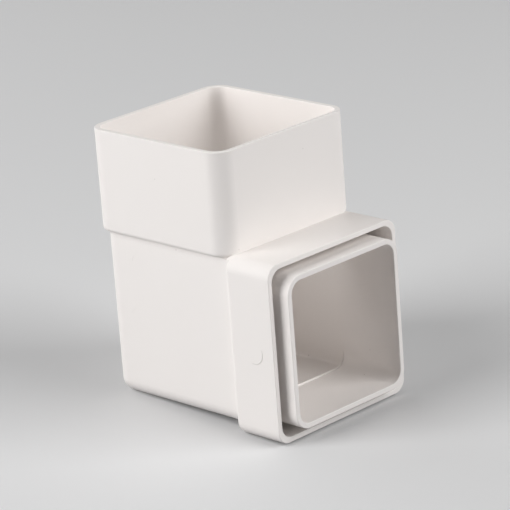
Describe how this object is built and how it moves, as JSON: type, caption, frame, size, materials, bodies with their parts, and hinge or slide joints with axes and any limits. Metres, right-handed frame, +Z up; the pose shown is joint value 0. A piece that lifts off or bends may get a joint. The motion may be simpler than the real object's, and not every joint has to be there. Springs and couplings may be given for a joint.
{
  "type": "downspout elbow",
  "caption": "Right-angle elbow for square plastic downpipe: an upright socket, a closed body with rounded edges, and an outlet spigot set inside a shroud.",
  "frame": {"origin": "centre of the ledge inside the socket that the upper pipe's end stands on", "axes": "+Z up the socket, the way the upper pipe leaves; +X out of the outlet; Y across, symmetric"},
  "size_m": [0.0949, 0.0698, 0.109],
  "materials": {
    "white_upvc": "smooth glossy moulded uPVC, slightly warm white"
  },
  "bodies": {
    "root": {"elbow": "white_upvc"}
  },
  "joints": []
}
